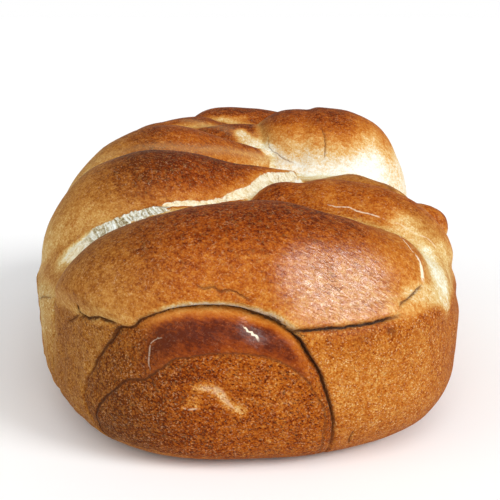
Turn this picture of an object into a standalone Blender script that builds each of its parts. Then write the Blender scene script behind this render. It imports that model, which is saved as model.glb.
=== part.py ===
"""Braided brioche loaf, baked in an oblong tin, as one fused solid.

The loaf stands on its flat bottom at z = 0, centred on the origin, with its long side
along Y and the end that is seen first towards -Y. Strands of dough cross the top from
the two long sides by turns. Below the rim they are pressed flat against the tin, where
creases show how one strand meets the next.
"""
import math

import bpy
import bmesh
from mathutils import Vector

# Driving sizes of the baked loaf, in metres
WIDTH = 0.153
LENGTH = 0.224
SHIFT = 0.0005            # the tin's middle lies this far to the right of the origin
BOW = 0.002               # how much the long sides bow out
BOW_REACH = 0.068         # how far from the middle the bow reaches along Y
BOW_POWER = 6             # larger keeps the bow fuller towards its ends
RIM_HEIGHT = 0.050        # how far up the tin pressed the dough flat
BOTTOM_ROUNDING = 0.022   # radius between the wall and the bottom
WALL_DRAFT = 0.030        # how much the wall leans out, per unit of height
PLAN_POWER = 3.0          # 2 is an ellipse, larger is squarer
FLARE = 0.30              # how fast the dough may swell out above the rim
FORM_HEIGHT = 0.130       # the pressing form ends above every lobe

# Half the width, and the depth, of the creases on the wall
CREASE_RADIUS = 0.0026

# Fineness of the solid
LOBE_RESOLUTION = 6       # 16 sides
LOBE_STEPS = 3            # rings from one named place of a lobe to the next
RISE_TURNS = (0, 25, 50, 70, 90)   # degrees at which a lobe's rise to its crest is placed
DOME_TURNS = (84, 66, 44, 22)      # degrees at which a lobe's round end has a ring
FORM_SIDES = 84
BOTTOM_STEPS = 5
CREASE_RESOLUTION = 2     # 8 sides
CREASE_STEPS = 3
CREASE_TAPER = 3          # rings over which a crease runs out at its ends
WELD_DISTANCE = 0.000001
SHARP_ANGLE = 40          # degrees

# How a lobe falls and thins from its crest to its tip: 1 is straight, larger starts slower
TIP_FALL = 1.6
TIP_THINNING = 1.3

# A strand's lobe rises from its foot at the tin wall, turns over its crest and dips to
# its tip near the middle. side is -1 on the left and 1 on the right. y is the place of
# the foot and sweep how far the tip lies behind it, in metres.
LOBES = {
    "front_pillow": dict(side=-1, y=-0.080, sweep=0.002, bend=-0.003, square=0.85,
                         foot=(0.050, 0.037, 0.019), crest=(-0.002, 0.0805, 0.027),
                         tip=(-0.037, 0.050, 0.020)),
    "right_first": dict(side=1, y=-0.052, sweep=0.010, bend=0.0, square=0.60,
                        foot=(0.055, 0.037, 0.020), crest=(0.024, 0.0803, 0.018),
                        tip=(0.012, 0.065, 0.014)),
    "left_first": dict(side=-1, y=-0.036, sweep=0.014, bend=0.0, square=0.70,
                       foot=(0.055, 0.024, 0.022), crest=(0.026, 0.089, 0.0225),
                       tip=(-0.018, 0.077, 0.0035)),
    "right_second": dict(side=1, y=-0.015, sweep=-0.006, bend=0.0, square=0.60,
                         foot=(0.058, 0.032, 0.020), crest=(0.038, 0.078, 0.018),
                         tip=(0.012, 0.069, 0.008)),
    "right_knob": dict(side=1, y=-0.018, sweep=0.004, bend=0.0, square=0.70,
                       foot=(0.073, 0.046, 0.0075), crest=(0.065, 0.067, 0.0095),
                       tip=(0.055, 0.055, 0.008)),
    "left_second": dict(side=-1, y=0.006, sweep=0.018, bend=0.0, square=0.75,
                        foot=(0.0535, 0.022, 0.0225), crest=(0.023, 0.093, 0.022),
                        tip=(-0.012, 0.0775, 0.004)),
    "right_third": dict(side=1, y=0.038, sweep=0.004, bend=0.0, square=0.50,
                        foot=(0.054, 0.020, 0.026), crest=(0.036, 0.0965, 0.026),
                        tip=(0.029, 0.072, 0.024)),
    "middle_strand": dict(side=-1, y=0.048, sweep=-0.008, bend=0.0, square=0.70,
                          foot=(0.040, 0.050, 0.016), crest=(0.004, 0.089, 0.015),
                          tip=(-0.016, 0.075, 0.0145)),
    "left_third": dict(side=-1, y=0.050, sweep=0.008, bend=0.0, square=0.70,
                       foot=(0.047, 0.022, 0.022), crest=(0.012, 0.0915, 0.018),
                       tip=(-0.006, 0.078, 0.009)),
    "right_fourth": dict(side=1, y=0.076, sweep=-0.004, bend=0.0, square=0.70,
                         foot=(0.046, 0.024, 0.024), crest=(-0.004, 0.0935, 0.018),
                         tip=(-0.024, 0.074, 0.008)),
    "back_pillow": dict(side=1, y=0.083, sweep=0.0, bend=0.004, square=0.70,
                        foot=(0.046, 0.036, 0.022), crest=(0.000, 0.079, 0.026),
                        tip=(-0.042, 0.046, 0.022)),
}

# The dough that fills the tin below the lobes: how far it is made larger than the tin
# before it is pressed, the height of its crown, the radius that leads up to it and how
# square its plan still is at the top
BASE_OVERSIZE = 0.002
BASE_CROWN = 0.073
BASE_ROUNDING = 0.040
BASE_CROWN_POWER = 2.0
BASE_STEPS = 5

# The strand end that shows as an arch at either end of the loaf, below the pillow. Its
# shoulder turns in from the flat face, which touched the tin, to the dough around it.
# The outlines are half ellipses, a little squared, that stand on the bottom.
ARCH_POWER = 2.4
ARCH_SIDES = 48
ARCH_STRIPS = 12          # strips across the face, which let it follow the round wall
SHOULDER_DEPTH = 0.0075
SHOULDER_STEPS = 4
ARCH_DEPTH = 0.020        # how far the strand end runs on into the loaf
ARCH_GAP = 0.0010
ARCHES = {
    "front_arch": dict(end=-1, shoulder=(-0.0200, 0.0385, 0.0575), face=(-0.0185, 0.0345, 0.0425)),
    "back_arch": dict(end=1, shoulder=(0.0160, 0.0370, 0.0540), face=(0.0170, 0.0320, 0.0410)),
}

# Creases beside the arches, under the pillows, as x and z places on the wall
FRONT_CREASES = (
    ("pillow_edge_left", ((-0.070, 0.047), (-0.062, 0.045), (-0.053, 0.049), (-0.042, 0.048))),
    ("pillow_edge_right", ((0.006, 0.048), (0.019, 0.048), (0.039, 0.050), (0.061, 0.047))),
)
BACK_CREASES = (
    ("back_edge_right", ((0.070, 0.046), (0.060, 0.048), (0.046, 0.046))),
    ("back_edge_left", ((-0.010, 0.048), (-0.030, 0.050), (-0.060, 0.047))),
)

# The creases on the long walls: the heights that each one passes before its top, and by
# side the places along Y with those tops
SIDE_CREASE_RISE = (0.003, 0.010, BOTTOM_ROUNDING, 0.035)
SIDE_CREASES = {
    -1: ((-0.068, 0.050), (-0.016, 0.056), (0.028, 0.056), (0.074, 0.054)),
    1: ((-0.036, 0.056), (0.009, 0.055), (0.060, 0.056)),
}

# Crust colour, linear
CRUST_COLOUR = (0.42, 0.19, 0.060, 1.0)
CRUST_ROUGHNESS = 0.45


def clear_scene():
    for item in list(bpy.data.objects):
        bpy.data.objects.remove(item)


def make_collection(name):
    collection = bpy.data.collections.new(name)
    bpy.context.scene.collection.children.link(collection)
    return collection


def make_object(name, mesh, collection):
    item = bpy.data.objects.new(name, mesh)
    collection.objects.link(item)
    return item


def signed_power(value, power):
    return math.copysign(abs(value) ** power, value)


def plan_point(angle, inset=0.0, plan_power=PLAN_POWER):
    """Point on the tin's outline in plan; the angle is measured from +X."""
    power = 2.0 / plan_power
    x = (WIDTH / 2 - inset) * signed_power(math.cos(angle), power)
    y = (LENGTH / 2 - inset) * signed_power(math.sin(angle), power)
    reach = max(1.0 - (abs(y) / BOW_REACH) ** BOW_POWER, 0.0)
    bow = BOW * reach * min(abs(x) / (WIDTH / 2), 1.0) ** 2
    return x + math.copysign(bow, x) + SHIFT, y


def wall_inset(z):
    """How far the tin's wall lies inside the plan outline at a height."""
    lean = (RIM_HEIGHT - min(z, RIM_HEIGHT)) * WALL_DRAFT
    below = max(BOTTOM_ROUNDING - z, 0.0)
    corner = BOTTOM_ROUNDING - math.sqrt(max(BOTTOM_ROUNDING ** 2 - below ** 2, 0.0))
    return lean + corner


def pressed_inset(z):
    """The same below the rim. Above it the dough may swell out past the wall."""
    return wall_inset(z) - max(z - RIM_HEIGHT, 0.0) * FLARE


def plan_angle(x, front):
    """Angle of the outline point at a given x, on the front or the back half."""
    share = min(abs(x - SHIFT) / (WIDTH / 2), 1.0) ** (PLAN_POWER / 2)
    turn = math.acos(share)
    angle = turn if x >= SHIFT else math.pi - turn
    return -angle if front else angle


def outline_y(x):
    """How far the tin's outline lies from the middle along Y at a given x."""
    share = abs((x - SHIFT) / (WIDTH / 2)) ** PLAN_POWER
    return LENGTH / 2 * (1.0 - share) ** (1.0 / PLAN_POWER)


def wall_point(angle, z):
    x, y = plan_point(angle, wall_inset(z))
    return Vector((x, y, z))


def smooth_path(points, steps):
    """Points on a smooth curve through the given ones (uniform Catmull-Rom)."""
    rows = [Vector(p) for p in points]
    rows = [2 * rows[0] - rows[1]] + rows + [2 * rows[-1] - rows[-2]]
    path = []
    for a, b, c, d in zip(rows, rows[1:], rows[2:], rows[3:]):
        for step in range(steps):
            t = step / steps
            path.append(0.5 * (2 * b + (c - a) * t + (2 * a - 5 * b + 4 * c - d) * t * t
                               + (3 * b - a - 3 * c + d) * t ** 3))
    path.append(rows[-2])
    return path


def tube(name, rows, resolution, collection):
    """Closed mesh of a round tube through rows of x, y, z and radius."""
    curve = bpy.data.curves.new(name, "CURVE")
    curve.dimensions = "3D"
    curve.bevel_depth = 1.0
    curve.bevel_resolution = resolution
    curve.use_fill_caps = True
    spline = curve.splines.new("POLY")
    spline.points.add(len(rows) - 1)
    for point, row in zip(spline.points, rows):
        point.co = (row[0], row[1], row[2], 1.0)
        point.radius = row[3]
    holder = make_object(name + "_path", curve, collection)
    bpy.context.view_layer.update()
    evaluated = holder.evaluated_get(bpy.context.evaluated_depsgraph_get())
    mesh = bpy.data.meshes.new_from_object(evaluated)
    item = make_object(name, mesh, collection)
    item.matrix_world = holder.matrix_world
    bpy.data.objects.remove(holder)
    bpy.data.curves.remove(curve)
    work = bmesh.new()
    work.from_mesh(mesh)
    bmesh.ops.remove_doubles(work, verts=work.verts, dist=WELD_DISTANCE)
    bmesh.ops.recalc_face_normals(work, faces=work.faces)
    work.to_mesh(mesh)
    work.free()
    return item


def rounded_end(row, towards):
    """Rows that close a tube with a dome, from the dome's top back to the last row."""
    centre, radius = Vector(row[:3]), row[3]
    direction = (centre - Vector(towards[:3])).normalized()
    dome = []
    for degrees in DOME_TURNS:
        angle = math.radians(degrees)
        place = centre + direction * radius * math.sin(angle)
        dome.append(Vector((*place, radius * math.cos(angle))))
    return dome


def lobe_rows(side, y, sweep, bend, square, foot, crest, tip):
    """Centre line and radius of a lobe. foot, crest and tip are x, z and radius."""
    foot_x, foot_z, foot_radius = foot
    crest_x, crest_top, crest_radius = crest
    tip_x, tip_z, tip_radius = tip
    crest_z = crest_top - crest_radius
    rows = []
    for degrees in RISE_TURNS:
        angle = math.radians(degrees)
        out = max(math.cos(angle), 0.0) ** square if degrees < 90 else 0.0
        up = math.sin(angle) ** square
        rows.append((crest_x + (foot_x - crest_x) * out, foot_z + (crest_z - foot_z) * up,
                     foot_radius + (crest_radius - foot_radius) * up))
    for share in (0.5, 1.0):
        rows.append((crest_x + (tip_x - crest_x) * share,
                     crest_z + (tip_z - crest_z) * share ** TIP_FALL,
                     crest_radius + (tip_radius - crest_radius) * share ** TIP_THINNING))
    placed = []
    for x, z, radius in rows:
        way = (foot_x - x) / (foot_x - tip_x)
        placed.append((side * x, y + sweep * way + bend * math.sin(math.pi * way), z, radius))
    path = smooth_path(placed, LOBE_STEPS)
    return rounded_end(path[0], path[1]) + path + rounded_end(path[-1], path[-2])[::-1]


def slice_across(work, place, normal):
    """Add a row of edges where a plane meets the mesh."""
    everything = work.verts[:] + work.edges[:] + work.faces[:]
    bmesh.ops.bisect_plane(work, geom=everything, plane_co=place, plane_no=normal)


def tin_power(z):
    return PLAN_POWER


def crown_power(z):
    """The base's plan turns from the tin's outline at the rim to a rounder one on top."""
    share = min(max((z - RIM_HEIGHT) / (BASE_CROWN - RIM_HEIGHT), 0.0), 1.0)
    return PLAN_POWER + (BASE_CROWN_POWER - PLAN_POWER) * share


def loft(name, levels, inset_at, power_at, collection):
    """Closed solid of the tin's plan outline through levels, each inset by a rule."""
    low, high = levels[0], levels[-1]
    work = bmesh.new()
    bmesh.ops.create_cone(work, cap_ends=True, segments=FORM_SIDES, radius1=1.0,
                          radius2=1.0, depth=high - low)
    bmesh.ops.translate(work, verts=work.verts, vec=(0.0, 0.0, (low + high) / 2))
    for z in levels[1:-1]:
        slice_across(work, (0.0, 0.0, z), (0.0, 0.0, 1.0))
    for vert in work.verts:
        angle = math.atan2(vert.co.y, vert.co.x)
        x, y = plan_point(angle, inset_at(vert.co.z), power_at(vert.co.z))
        vert.co = (x, y, vert.co.z)
    mesh = bpy.data.meshes.new(name)
    work.to_mesh(mesh)
    work.free()
    return make_object(name, mesh, collection)


def rounded_levels(radius, steps):
    """Heights at even turns of a rounding of this radius that starts at z = 0."""
    return [radius * (1 - math.cos(math.pi / 2 * step / steps)) for step in range(steps + 1)]


def pressing_form(collection):
    """The inside of the tin, which opens out above its rim, so that lobes may swell."""
    levels = rounded_levels(BOTTOM_ROUNDING, BOTTOM_STEPS) + [RIM_HEIGHT, FORM_HEIGHT]
    return loft("pressing_form", levels, pressed_inset, tin_power, collection)


def base_dough(collection):
    """The dough that fills the tin and closes the valleys between the lobes."""
    shoulder = BASE_CROWN - BASE_ROUNDING

    def inset(z):
        above = min(max(z - shoulder, 0.0), BASE_ROUNDING)
        return BASE_ROUNDING - math.sqrt(BASE_ROUNDING ** 2 - above ** 2) - BASE_OVERSIZE

    turns = [math.pi / 2 * step / BASE_STEPS for step in range(BASE_STEPS + 1)]
    levels = [-BASE_OVERSIZE] + [shoulder + BASE_ROUNDING * math.sin(turn) for turn in turns]
    return loft("base", levels, inset, crown_power, collection)


def arch_body(name, end, shoulder, face, grow, collection):
    """Strand end as a loft along Y, from its shoulder's outline to its face's."""
    wall = LENGTH / 2
    back, front = wall - SHOULDER_DEPTH - ARCH_DEPTH, wall + BASE_OVERSIZE
    turn_start = wall - SHOULDER_DEPTH
    levels = [turn_start + SHOULDER_DEPTH * math.sin(math.pi / 2 * step / SHOULDER_STEPS)
              for step in range(SHOULDER_STEPS + 1)]
    work = bmesh.new()
    bmesh.ops.create_cone(work, cap_ends=True, segments=ARCH_SIDES, radius1=1.0, radius2=1.0,
                          depth=front - back)
    bmesh.ops.translate(work, verts=work.verts, vec=(0.0, 0.0, (back + front) / 2))
    for level in levels:
        slice_across(work, (0.0, 0.0, level), (0.0, 0.0, 1.0))
    for step in range(1, ARCH_STRIPS):
        slice_across(work, (2.0 * step / ARCH_STRIPS - 1.0, 0.0, 0.0), (1.0, 0.0, 0.0))
    for vert in work.verts:
        along = min(max((vert.co.z - turn_start) / SHOULDER_DEPTH, 0.0), 1.0)
        share = 0.0 if grow else 1.0 - math.sqrt(1.0 - along ** 2)
        middle, half_width, height = (a + (b - a) * share for a, b in zip(shoulder, face))
        angle = math.atan2(vert.co.y, vert.co.x)
        x = middle + (half_width + grow) * signed_power(math.cos(angle), 2 / ARCH_POWER)
        z = (height + grow) * signed_power(math.sin(angle), 2 / ARCH_POWER)
        vert.co = (x, end * (vert.co.z + outline_y(x) - LENGTH / 2), z)
    if work.calc_volume(signed=True) < 0:
        bmesh.ops.reverse_faces(work, faces=work.faces)
    mesh = bpy.data.meshes.new(name)
    work.to_mesh(mesh)
    work.free()
    return make_object(name, mesh, collection)


def wall_crease(name, points, front, collection):
    """Cutter along the wall through x and z places, at the front or the back end."""
    rows = [tuple(wall_point(plan_angle(x, front), z)) for x, z in points]
    return crease(name, rows, collection)


def side_crease(name, side, y, top, collection):
    """Cutter up the long wall, where one strand's turn meets the next, round the bottom."""
    share = min(abs(y) / (LENGTH / 2), 1.0) ** (PLAN_POWER / 2)
    angle = math.copysign(math.asin(share), y)
    if side < 0:
        angle = math.pi - angle
    rows = [tuple(wall_point(angle, z)) for z in (*SIDE_CREASE_RISE, top)]
    return crease(name, rows, collection)


def crease(name, rows, collection):
    """Thin tube through the rows, tapered at both ends, that cuts a groove."""
    path = smooth_path(rows, CREASE_STEPS)
    tube_rows = []
    for index, place in enumerate(path):
        from_end = min(index, len(path) - 1 - index)
        share = min(1.0, (from_end + 1) / CREASE_TAPER)
        tube_rows.append((*place, CREASE_RADIUS * share))
    cutter = tube(name, tube_rows, CREASE_RESOLUTION, collection)
    cutter.hide_render = True
    cutter.display_type = "WIRE"
    return cutter


def apply_boolean(item, operation, other, solver="EXACT"):
    """Join, cut or intersect with a collection or an object, and bake the result."""
    modifier = item.modifiers.new("boolean", "BOOLEAN")
    modifier.operation = operation
    modifier.solver = solver
    if isinstance(other, bpy.types.Collection):
        modifier.operand_type = "COLLECTION"
        modifier.collection = other
    else:
        modifier.object = other
    bpy.context.view_layer.update()
    evaluated = item.evaluated_get(bpy.context.evaluated_depsgraph_get())
    baked = bpy.data.meshes.new_from_object(evaluated)
    item.modifiers.clear()
    item.data = baked


def remove_collection(collection):
    for item in list(collection.objects):
        bpy.data.objects.remove(item)
    bpy.data.collections.remove(collection)


def keep_largest_body(mesh):
    """Drop loose scraps and inner shells, and leave one closed body of triangles."""
    work = bmesh.new()
    work.from_mesh(mesh)
    bmesh.ops.remove_doubles(work, verts=work.verts, dist=WELD_DISTANCE)
    unseen = set(work.verts)
    bodies = []
    while unseen:
        stack = [unseen.pop()]
        body = set(stack)
        while stack:
            for edge in stack.pop().link_edges:
                for vert in edge.verts:
                    if vert in unseen:
                        unseen.discard(vert)
                        body.add(vert)
                        stack.append(vert)
        bodies.append(body)
    bodies.sort(key=len)
    for body in bodies[:-1]:
        bmesh.ops.delete(work, geom=list(body), context="VERTS")
    bmesh.ops.triangulate(work, faces=work.faces)
    work.to_mesh(mesh)
    work.free()


def crust_material():
    material = bpy.data.materials.new("baked_crust")
    material.use_nodes = True
    shader = material.node_tree.nodes["Principled BSDF"]
    shader.inputs["Base Color"].default_value = CRUST_COLOUR
    shader.inputs["Roughness"].default_value = CRUST_ROUGHNESS
    shader.inputs["Metallic"].default_value = 0.0
    return material


def pressed_dough(collection):
    """Every strand joined into one solid, and pressed to the tin."""
    strands = make_collection("strands")
    for name, shape in LOBES.items():
        tube(name, lobe_rows(**shape), LOBE_RESOLUTION, strands)
    loaf = base_dough(collection)
    loaf.name = "brioche_loaf"
    apply_boolean(loaf, "UNION", strands)
    remove_collection(strands)
    set_in_strand_ends(loaf)
    forms = make_collection("forms")
    apply_boolean(loaf, "INTERSECT", pressing_form(forms))
    remove_collection(forms)
    return loaf


def set_in_strand_ends(loaf):
    """Clear a socket at either end of the loaf and set the strand's end in it."""
    sockets = make_collection("sockets")
    ends = make_collection("ends")
    for name, shape in ARCHES.items():
        socket = arch_body(name + "_socket", grow=ARCH_GAP, collection=sockets, **shape)
        socket.location.y = shape["end"] * ARCH_DEPTH
        arch_body(name, grow=0.0, collection=ends, **shape)
    apply_boolean(loaf, "DIFFERENCE", sockets)
    apply_boolean(loaf, "UNION", ends)
    remove_collection(sockets)
    remove_collection(ends)


def cut_creases(loaf):
    """Grooves where the strands' turns meet on the wall."""
    cutters = make_collection("cutters")
    for name, points in FRONT_CREASES:
        wall_crease(name, points, True, cutters)
    for name, points in BACK_CREASES:
        wall_crease(name, points, False, cutters)
    for side, places in SIDE_CREASES.items():
        for index, (y, top) in enumerate(places):
            side_crease(f"side_crease_{side}_{index}", side, y, top, cutters)
    # The exact solver leaves open edges where these thin grooves run along the wall
    apply_boolean(loaf, "DIFFERENCE", cutters, solver="MANIFOLD")
    remove_collection(cutters)


def build():
    clear_scene()
    loaves = make_collection("brioche")
    loaf = pressed_dough(loaves)
    cut_creases(loaf)
    keep_largest_body(loaf.data)
    loaf.data.materials.clear()
    loaf.data.materials.append(crust_material())
    loaf.data.shade_smooth()
    loaf.data.set_sharp_from_angle(angle=math.radians(SHARP_ANGLE))


build()
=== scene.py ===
import math
from collections import namedtuple

import bpy
import numpy as np
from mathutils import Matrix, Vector, noise


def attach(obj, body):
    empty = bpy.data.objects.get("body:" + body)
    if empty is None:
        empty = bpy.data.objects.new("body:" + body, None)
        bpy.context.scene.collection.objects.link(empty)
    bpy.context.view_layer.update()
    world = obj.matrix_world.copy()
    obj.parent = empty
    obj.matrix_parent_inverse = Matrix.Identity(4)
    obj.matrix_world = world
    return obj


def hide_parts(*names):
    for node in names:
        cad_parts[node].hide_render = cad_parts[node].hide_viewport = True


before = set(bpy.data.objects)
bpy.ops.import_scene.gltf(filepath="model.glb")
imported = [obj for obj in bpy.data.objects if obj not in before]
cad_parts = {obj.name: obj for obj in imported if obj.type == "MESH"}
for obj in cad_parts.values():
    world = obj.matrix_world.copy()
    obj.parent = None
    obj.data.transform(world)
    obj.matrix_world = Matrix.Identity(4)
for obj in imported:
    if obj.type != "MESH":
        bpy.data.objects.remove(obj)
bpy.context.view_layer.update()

# The front pillow: the last strand of the plait, a thick roll of enriched dough that is
# laid right across the end of the tin and swells over it. Each strand is rolled as a
# curve with a radius at each place, and then made a mesh.
MM = 0.001
ROLL_ROUNDNESS, STEPS_ALONG = 14, 9
DOME_ANGLES = (88, 78, 66, 54, 42, 30, 15)
CREST_ANGLES = (0, 25, 50, 70, 90)
TIP_DROP, TIP_TAPER = 1.6, 1.3
strand_lines = {}


def smooth_line(places, steps):
    """Rows on a smooth curve through the given rows; any number of columns."""
    rows = np.array(places, float)
    rows = np.vstack([2 * rows[0] - rows[1], rows, 2 * rows[-1] - rows[-2]])
    line = []
    for a, b, c, d in zip(rows, rows[1:], rows[2:], rows[3:]):
        for t in np.arange(steps) / steps:
            line.append(0.5 * (2 * b + (c - a) * t + (2 * a - 5 * b + 4 * c - d) * t * t
                               + (3 * b - a - 3 * c + d) * t ** 3))
    line.append(rows[-2])
    return np.array(line)


def domed_end(row, inner):
    """Rows that close a roll with a dome, from its top down to the roll's last row."""
    outward = (row[:3] - inner[:3]) / np.linalg.norm(row[:3] - inner[:3])
    dome = []
    for angle in np.radians(DOME_ANGLES):
        dome.append([*(row[:3] + outward * row[3] * math.sin(angle)), row[3] * math.cos(angle)])
    return np.array(dome)


def roll_strand(name, side, y, sweep, bend, square, foot, crest, tip):
    """A strand's lobe from its foot at the tin, over its crest, to its tip in the middle.
    foot, crest and tip are x, z and radius in mm; the crest's z is its top."""
    foot_x, foot_z, foot_r = foot
    crest_x, crest_top, crest_r = crest
    tip_x, tip_z, tip_r = tip
    crest_z = crest_top - crest_r
    rows = []
    for angle in np.radians(CREST_ANGLES):
        out = 0.0 if angle > 1.57 else math.cos(angle) ** square
        up = math.sin(angle) ** square
        rows.append((crest_x + (foot_x - crest_x) * out, foot_z + (crest_z - foot_z) * up,
                     foot_r + (crest_r - foot_r) * up))
    for share in (0.5, 1.0):
        rows.append((crest_x + (tip_x - crest_x) * share,
                     crest_z + (tip_z - crest_z) * share ** TIP_DROP,
                     crest_r + (tip_r - crest_r) * share ** TIP_TAPER))
    placed = []
    for x, z, radius in rows:
        way = (foot_x - x) / (foot_x - tip_x)
        placed.append((side * x, y + sweep * way + bend * math.sin(math.pi * way), z, radius))
    line = smooth_line(placed, STEPS_ALONG) * MM
    strand_lines[name] = line
    line = np.vstack([domed_end(line[0], line[1]), line, domed_end(line[-1], line[-2])[::-1]])
    bpy.ops.object.select_all(action="DESELECT")
    bpy.ops.curve.primitive_nurbs_path_add()
    strand = bpy.context.object
    strand.name = name
    strand.data.bevel_depth = 1.0
    strand.data.bevel_resolution = ROLL_ROUNDNESS
    strand.data.use_fill_caps = True
    spline = strand.data.splines[0]
    spline.type = "POLY"
    spline.points.add(len(line) - len(spline.points))
    for point, row in zip(spline.points, line):
        point.co = (row[0], row[1], row[2], 1.0)
        point.radius = row[3]
    bpy.ops.object.convert(target="MESH")
    return bpy.context.object


front_pillow = roll_strand("front_pillow", -1, -80, 2, -3, 0.85, foot=(50, 37, 19),
                           crest=(-2, 80.5, 27), tip=(-37, 50, 20))

# The strands that come up from the left wall of the tin, one behind the other. Each
# tapers to a tip that is tucked under the next strand from the right.
left_strands = [
    roll_strand("left_first", -1, -36, 14, 0, 0.70, foot=(55, 24, 22),
                crest=(26, 89, 22.5), tip=(-18, 77, 3.5)),
    roll_strand("left_second", -1, 6, 18, 0, 0.75, foot=(53.5, 22, 22.5),
                crest=(23, 93, 22), tip=(-12, 77.5, 4)),
    roll_strand("middle_strand", -1, 48, -8, 0, 0.70, foot=(40, 50, 16),
                crest=(4, 89, 15), tip=(-16, 75, 14.5)),
    roll_strand("left_third", -1, 50, 8, 0, 0.70, foot=(47, 22, 22),
                crest=(12, 91.5, 18), tip=(-6, 78, 9)),
]

# The strands that come up from the right wall, between those from the left. The third
# swelled most and stands as a round dome, and a small knob bulges beside the second.
right_strands = [
    roll_strand("right_first", 1, -52, 10, 0, 0.60, foot=(55, 37, 20),
                crest=(24, 80.3, 18), tip=(12, 65, 14)),
    roll_strand("right_second", 1, -15, -6, 0, 0.60, foot=(58, 32, 20),
                crest=(38, 78, 18), tip=(12, 69, 8)),
    roll_strand("right_knob", 1, -18, 4, 0, 0.70, foot=(73, 46, 8),
                crest=(66.5, 68, 10.5), tip=(55, 55, 8)),
    roll_strand("right_third", 1, 38, 4, 0, 0.50, foot=(54, 20, 26),
                crest=(36, 96.5, 26), tip=(29, 72, 24)),
    roll_strand("right_fourth", 1, 76, -4, 0, 0.70, foot=(46, 24, 24),
                crest=(-4, 93.5, 18), tip=(-24, 74, 8)),
]

# The back pillow: one more strand, laid across the far end of the tin, which closes the
# plait there as the front pillow does at the near end.
back_pillow = roll_strand("back_pillow", 1, 83, 0, 4, 0.70, foot=(46, 36, 22),
                          crest=(0, 79, 26), tip=(-42, 46, 22))

# The dough that fills the oblong tin under the strands, and the inside of the tin that
# it was pressed against: straight walls with rounded corners, which lean out a little.
# Above the rim the dough was free to swell.
WIDTH, LENGTH, RIM = 153 * MM, 224 * MM, 50 * MM
WALL_DRAFT, BOTTOM_ROUNDING, PLAN_POWER, FLARE = 0.030, 22 * MM, 3.0, 0.30
SHIFT, BOW, BOW_REACH = 0.5 * MM, 2 * MM, 68 * MM
CROWN, CROWN_ROUNDING, CROWN_POWER, OVERSIZE = 73 * MM, 40 * MM, 2.0, 2 * MM
TIN_TOP, TIN_SIDES, ROUNDING_STEPS = 130 * MM, 200, 10


def plan_place(turn, inset, power):
    """Place on the tin's outline in plan: rounded corners and long sides that bow out."""
    c, s = math.cos(turn), math.sin(turn)
    x = (WIDTH / 2 - inset) * math.copysign(abs(c) ** (2 / power), c)
    y = (LENGTH / 2 - inset) * math.copysign(abs(s) ** (2 / power), s)
    bow = BOW * max(1 - (abs(y) / BOW_REACH) ** 6, 0.0) * min(abs(x) / (WIDTH / 2), 1.0) ** 2
    return x + math.copysign(bow, x) + SHIFT, y


def tin_inset(z):
    """How far the inside of the tin, and its flare above the rim, lie inside the plan."""
    below = max(BOTTOM_ROUNDING - z, 0.0)
    corner = BOTTOM_ROUNDING - math.sqrt(max(BOTTOM_ROUNDING ** 2 - below ** 2, 0.0))
    return (RIM - min(z, RIM)) * WALL_DRAFT + corner - max(z - RIM, 0.0) * FLARE


def crown_inset(z):
    """The same for the top of the filling, which is rounded over."""
    above = min(max(z - (CROWN - CROWN_ROUNDING), 0.0), CROWN_ROUNDING)
    return CROWN_ROUNDING - math.sqrt(CROWN_ROUNDING ** 2 - above ** 2) - OVERSIZE


def crown_power(z):
    """The filling's corners grow rounder from the rim to its crown."""
    share = min(max((z - RIM) / (CROWN - RIM), 0.0), 1.0)
    return PLAN_POWER + (CROWN_POWER - PLAN_POWER) * share


def tin_shape(name, levels, inset, power):
    """A round block, sliced at the levels, whose rings are brought to the tin's plan."""
    bpy.ops.object.select_all(action="DESELECT")
    bpy.ops.mesh.primitive_cylinder_add(vertices=TIN_SIDES, radius=1.0,
                                        depth=levels[-1] - levels[0],
                                        location=(0, 0, (levels[0] + levels[-1]) / 2))
    block = bpy.context.object
    block.name = name
    bpy.ops.object.transform_apply(location=True)
    bpy.ops.object.mode_set(mode="EDIT")
    for level in levels[1:-1]:
        bpy.ops.mesh.select_all(action="SELECT")
        bpy.ops.mesh.bisect(plane_co=(0, 0, level), plane_no=(0, 0, 1))
    bpy.ops.object.mode_set(mode="OBJECT")
    for vert in block.data.vertices:
        turn = math.atan2(vert.co.y, vert.co.x)
        vert.co.x, vert.co.y = plan_place(turn, inset(vert.co.z), power(vert.co.z))
    return block


steps = range(ROUNDING_STEPS + 1)
bottom_levels = [BOTTOM_ROUNDING * (1 - math.cos(math.pi / 2 * k / ROUNDING_STEPS)) for k in steps]
tin = tin_shape("tin_inside", bottom_levels + [RIM, TIN_TOP], tin_inset, lambda z: PLAN_POWER)
crown_levels = [CROWN - CROWN_ROUNDING * (1 - math.sin(math.pi / 2 * k / ROUNDING_STEPS))
                for k in steps]
filling = tin_shape("filling", [-OVERSIZE] + crown_levels, crown_inset, crown_power)

# Proving and baking fuse the strands and the filling into one body. The pieces are
# joined and remeshed into one skin, pressed into the tin, and evened out.
SKIN_STEP = 1.5 * MM


def select_only(*items):
    bpy.ops.object.select_all(action="DESELECT")
    for item in items:
        item.select_set(True)
    bpy.context.view_layer.objects.active = items[0]


def remesh(item, step):
    skin = item.modifiers.new("skin", "REMESH")
    skin.mode = "VOXEL"
    skin.voxel_size = step
    select_only(item)
    bpy.ops.object.modifier_apply(modifier="skin")


select_only(filling, front_pillow, back_pillow, *left_strands, *right_strands)
bpy.ops.object.join()
loaf = bpy.context.object
loaf.name = "brioche_crust"
loaf.data.name = "brioche_crust"
remesh(loaf, SKIN_STEP)
press = loaf.modifiers.new("press", "BOOLEAN")
press.operation = "INTERSECT"
press.solver = "MANIFOLD"
press.object = tin
select_only(loaf)
bpy.ops.object.modifier_apply(modifier="press")
bpy.data.objects.remove(tin)
remesh(loaf, SKIN_STEP)
even = loaf.modifiers.new("even", "SMOOTH")
even.factor = 0.5
even.iterations = 4
select_only(loaf)
bpy.ops.object.modifier_apply(modifier="even")
loaf.data.shade_smooth()

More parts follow.
